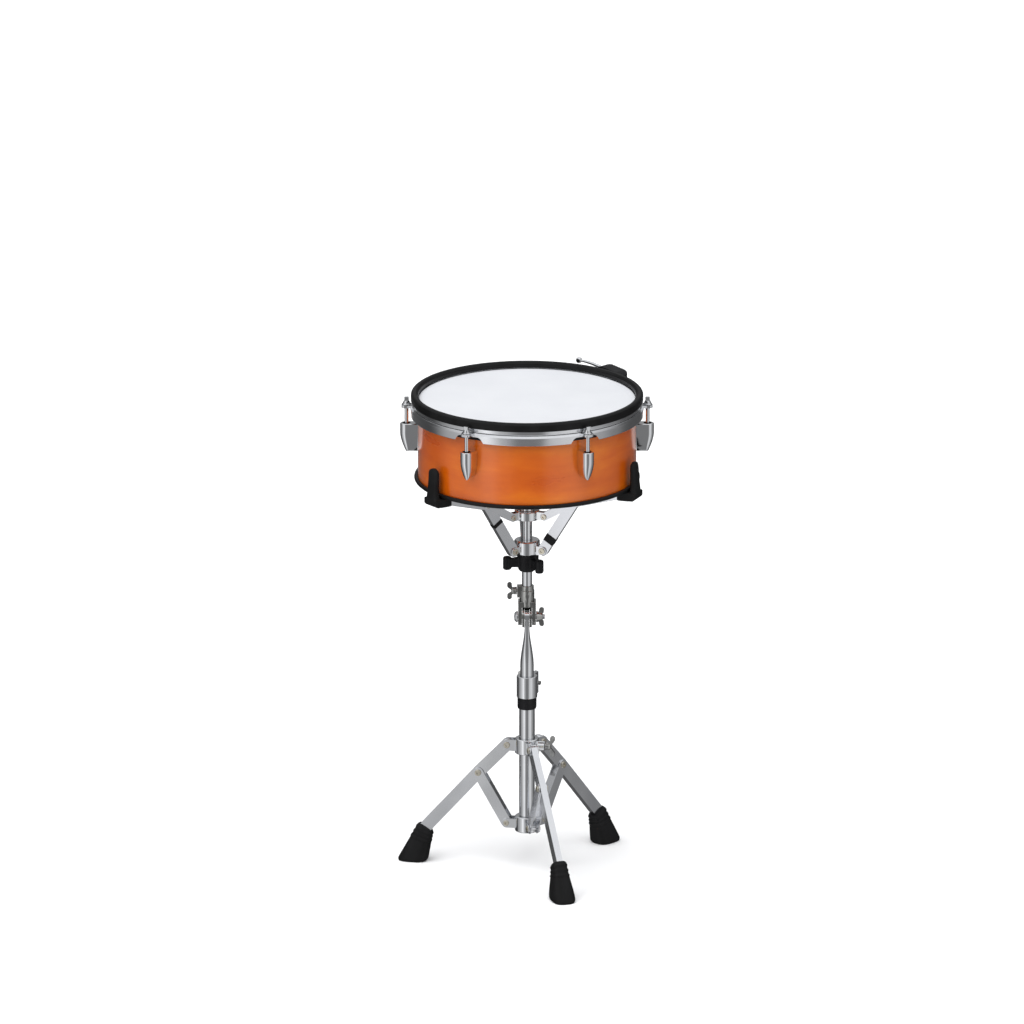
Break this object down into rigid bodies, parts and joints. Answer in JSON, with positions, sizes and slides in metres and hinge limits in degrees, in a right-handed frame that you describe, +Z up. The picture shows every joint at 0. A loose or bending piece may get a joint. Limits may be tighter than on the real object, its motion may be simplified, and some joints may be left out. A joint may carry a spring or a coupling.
{
  "type": "snare drum",
  "caption": "Trigger snare drum with a wooden shell, mesh head and rubber-covered hoop, held by the arms of a folding tripod stand.",
  "frame": {"origin": "on the floor, on the axis of the stand's column, which is also the drum's axis", "axes": "+Z up; -Y towards the player; +X to the player's right as seen from the camera side"},
  "size_m": [0.3583, 0.3477, 0.6979],
  "materials": {
    "chrome": "bright chrome plate",
    "cast_metal": "cast and plated, darker and softer than the tubes",
    "black_rubber": "matt moulded rubber",
    "edge_rubber": "semi-matt rubber edging",
    "hoop_rubber": "matt rubber with a soft sheen",
    "black_plastic": "satin moulded plastic",
    "amber_wood": "amber stain under satin lacquer",
    "mesh_head": "fine white woven mesh",
    "foam": "dense foam",
    "aluminium": "bare pressed strip"
  },
  "bodies": {
    "base": {"base_tube": "chrome", "lower_hub": "chrome", "clamp_bushing": "black_plastic", "height_clamp": "chrome"},
    "collar": {"leg_collar": "chrome"},
    "collar_bolt": {"collar_wing_bolt": "cast_metal"},
    "leg_1": {"leg_1": "chrome", "foot_1": "black_rubber"},
    "leg_2": {"leg_2": "chrome", "foot_2": "black_rubber"},
    "leg_3": {"leg_3": "chrome", "foot_3": "black_rubber"},
    "brace_1": {"brace_1": "chrome"},
    "brace_2": {"brace_2": "chrome"},
    "brace_3": {"brace_3": "chrome"},
    "height_bolt": {"height_wing_bolt": "cast_metal"},
    "column": {"upper_tube": "chrome", "tilter_lower": "cast_metal"},
    "tilter": {"tilter_upper": "cast_metal", "tilter_bolt": "chrome"},
    "tilter_nut": {"tilter_wing_nut": "cast_metal"},
    "rod_clamp": {"rod_clamp_bolt": "cast_metal"},
    "basket": {"basket_rod": "chrome", "basket_upper_hub": "chrome"},
    "basket_slider": {"basket_lower_hub": "chrome"},
    "knob": {"basket_knob": "black_plastic"},
    "arm_1": {"basket_arm_1": "chrome", "grip_1": "black_rubber"},
    "arm_2": {"basket_arm_2": "chrome", "grip_2": "black_rubber"},
    "arm_3": {"basket_arm_3": "chrome", "grip_3": "black_rubber"},
    "strut_1": {"basket_strut_1": "chrome"},
    "strut_2": {"basket_strut_2": "chrome"},
    "strut_3": {"basket_strut_3": "chrome"},
    "drum": {"shell": "amber_wood", "bottom_edge_trim": "edge_rubber", "drum_head": "mesh_head", "head_flesh_hoop": "black_plastic", "counter_hoop": "chrome", "rubber_hoop_cover": "hoop_rubber", "lug_1": "chrome", "lug_2": "chrome", "lug_3": "chrome", "lug_4": "chrome", "lug_5": "chrome", "lug_6": "chrome", "sensor_bridge": "aluminium", "sensor_disc": "black_plastic", "sensor_foam_cone": "foam", "jack_box": "black_plastic", "control_housing": "black_plastic"},
    "rod_1": {"tension_rod_1": "chrome"},
    "rod_2": {"tension_rod_2": "chrome"},
    "rod_3": {"tension_rod_3": "chrome"},
    "rod_4": {"tension_rod_4": "chrome"},
    "rod_5": {"tension_rod_5": "chrome"},
    "rod_6": {"tension_rod_6": "chrome"},
    "lever": {"control_lever": "chrome"}
  },
  "joints": [
    {"name": "leg_collar_slide", "type": "slide", "parent": "base", "child": "collar", "axis": [0, 0, 1], "range_m": [0, 0.026]},
    {"name": "collar_bolt_turn", "type": "hinge", "parent": "collar", "child": "collar_bolt", "pos_m": [0.02929, -0.00649, 0.179], "axis": [0.9763, -0.2164, 0], "continuous": true},
    {"name": "leg_1_fold", "type": "hinge", "parent": "collar", "child": "leg_1", "pos_m": [0.00827, -0.02623, 0.179], "axis": [0.9537, 0.3007, 0], "range_deg": [0, 33.3]},
    {"name": "leg_2_fold", "type": "hinge", "parent": "collar", "child": "leg_2", "pos_m": [0.01858, 0.02028, 0.179], "axis": [-0.7373, 0.6756, 0], "range_deg": [0, 33.3]},
    {"name": "leg_3_fold", "type": "hinge", "parent": "collar", "child": "leg_3", "pos_m": [-0.02685, 0.00595, 0.179], "axis": [-0.2164, -0.9763, 0], "range_deg": [0, 33.3]},
    {"name": "brace_1_fold", "type": "hinge", "parent": "base", "child": "brace_1", "pos_m": [0.00842, -0.0267, 0.065], "axis": [0.9537, 0.3007, 0], "range_deg": [-23, 0]},
    {"name": "brace_2_fold", "type": "hinge", "parent": "base", "child": "brace_2", "pos_m": [0.01892, 0.02064, 0.065], "axis": [-0.7373, 0.6756, 0], "range_deg": [-23, 0]},
    {"name": "brace_3_fold", "type": "hinge", "parent": "base", "child": "brace_3", "pos_m": [-0.02734, 0.00606, 0.065], "axis": [-0.2164, -0.9763, 0], "range_deg": [-23, 0]},
    {"name": "height_bolt_turn", "type": "hinge", "parent": "base", "child": "height_bolt", "pos_m": [0.00768, 0.01901, 0.2655], "axis": [-0.9272, 0.3746, 0], "continuous": true},
    {"name": "height_slide", "type": "slide", "parent": "base", "child": "column", "axis": [0, 0, 1], "range_m": [-0.01, 0.11]},
    {"name": "tilt", "type": "hinge", "parent": "column", "child": "tilter", "pos_m": [0, 0, 0.367], "axis": [1, 0, 0], "range_deg": [-15, 75]},
    {"name": "tilter_nut_turn", "type": "hinge", "parent": "tilter", "child": "tilter_nut", "pos_m": [0.017, 0, 0.367], "axis": [1, 0, 0], "continuous": true},
    {"name": "rod_clamp_turn", "type": "hinge", "parent": "tilter", "child": "rod_clamp", "pos_m": [-0.016, 0, 0.405], "axis": [1, 0, 0], "continuous": true},
    {"name": "basket_swivel", "type": "hinge", "parent": "tilter", "child": "basket", "pos_m": [0, 0, 0.414], "axis": [0, 0, 1], "continuous": true},
    {"name": "basket_clamp_slide", "type": "slide", "parent": "basket", "child": "basket_slider", "axis": [0, 0, 1], "range_m": [-0.01, 0]},
    {"name": "knob_turn", "type": "hinge", "parent": "basket_slider", "child": "knob", "pos_m": [0, 0, 0.449], "axis": [0, 0, 1], "range_deg": [-720.5, 0]},
    {"name": "arm_1_swing", "type": "hinge", "parent": "basket_slider", "child": "arm_1", "pos_m": [-0.01997, -0.01505, 0.467], "axis": [0.6018, -0.7986, 0], "range_deg": [0, 4.5]},
    {"name": "arm_2_swing", "type": "hinge", "parent": "basket_slider", "child": "arm_2", "pos_m": [0.02301, -0.00977, 0.467], "axis": [0.3907, 0.9205, 0], "range_deg": [0, 4.5]},
    {"name": "arm_3_swing", "type": "hinge", "parent": "basket_slider", "child": "arm_3", "pos_m": [-0.00305, 0.02481, 0.467], "axis": [-0.9925, -0.1219, 0], "range_deg": [0, 4.5]},
    {"name": "strut_1_swing", "type": "hinge", "parent": "basket", "child": "strut_1", "pos_m": [-0.02236, -0.01685, 0.517], "axis": [0.6018, -0.7986, 0], "range_deg": [0, 16.9]},
    {"name": "strut_2_swing", "type": "hinge", "parent": "basket", "child": "strut_2", "pos_m": [0.02577, -0.01094, 0.517], "axis": [0.3907, 0.9205, 0], "range_deg": [0, 16.9]},
    {"name": "strut_3_swing", "type": "hinge", "parent": "basket", "child": "strut_3", "pos_m": [-0.00341, 0.02779, 0.517], "axis": [-0.9925, -0.1219, 0], "range_deg": [0, 16.9]},
    {"name": "drum_lift", "type": "slide", "parent": "basket", "child": "drum", "axis": [0, 0, 1], "range_m": [0, 0.12]},
    {"name": "tension_rod_1_turn", "type": "hinge", "parent": "drum", "child": "rod_1", "pos_m": [0.084, -0.14549, 0.664], "axis": [0, 0, 1], "continuous": true},
    {"name": "tension_rod_2_turn", "type": "hinge", "parent": "drum", "child": "rod_2", "pos_m": [0.168, 0, 0.664], "axis": [0, 0, 1], "continuous": true},
    {"name": "tension_rod_3_turn", "type": "hinge", "parent": "drum", "child": "rod_3", "pos_m": [0.084, 0.14549, 0.664], "axis": [0, 0, 1], "continuous": true},
    {"name": "tension_rod_4_turn", "type": "hinge", "parent": "drum", "child": "rod_4", "pos_m": [-0.084, 0.14549, 0.664], "axis": [0, 0, 1], "continuous": true},
    {"name": "tension_rod_5_turn", "type": "hinge", "parent": "drum", "child": "rod_5", "pos_m": [-0.168, 0, 0.664], "axis": [0, 0, 1], "continuous": true},
    {"name": "tension_rod_6_turn", "type": "hinge", "parent": "drum", "child": "rod_6", "pos_m": [-0.084, -0.14549, 0.664], "axis": [0, 0, 1], "continuous": true},
    {"name": "control_lever_lift", "type": "hinge", "parent": "drum", "child": "lever", "pos_m": [0.10712, 0.14254, 0.6865], "axis": [0.5, 0.866, 0], "range_deg": [0, 60]}
  ],
  "couplings": [
    {"joint": "leg_1_fold", "follows": "leg_collar_slide", "rad_per_m": 22.262},
    {"joint": "brace_1_fold", "follows": "leg_collar_slide", "rad_per_m": -15.321},
    {"joint": "arm_1_swing", "follows": "basket_clamp_slide", "rad_per_m": -7.5873},
    {"joint": "strut_1_swing", "follows": "basket_clamp_slide", "rad_per_m": -29.229},
    {"joint": "leg_2_fold", "follows": "leg_collar_slide", "rad_per_m": 22.262},
    {"joint": "brace_2_fold", "follows": "leg_collar_slide", "rad_per_m": -15.321},
    {"joint": "arm_2_swing", "follows": "basket_clamp_slide", "rad_per_m": -7.5873},
    {"joint": "strut_2_swing", "follows": "basket_clamp_slide", "rad_per_m": -29.229},
    {"joint": "leg_3_fold", "follows": "leg_collar_slide", "rad_per_m": 22.262},
    {"joint": "brace_3_fold", "follows": "leg_collar_slide", "rad_per_m": -15.321},
    {"joint": "arm_3_swing", "follows": "basket_clamp_slide", "rad_per_m": -7.5873},
    {"joint": "strut_3_swing", "follows": "basket_clamp_slide", "rad_per_m": -29.229},
    {"joint": "knob_turn", "follows": "basket_clamp_slide", "rad_per_m": 1256.6}
  ]
}
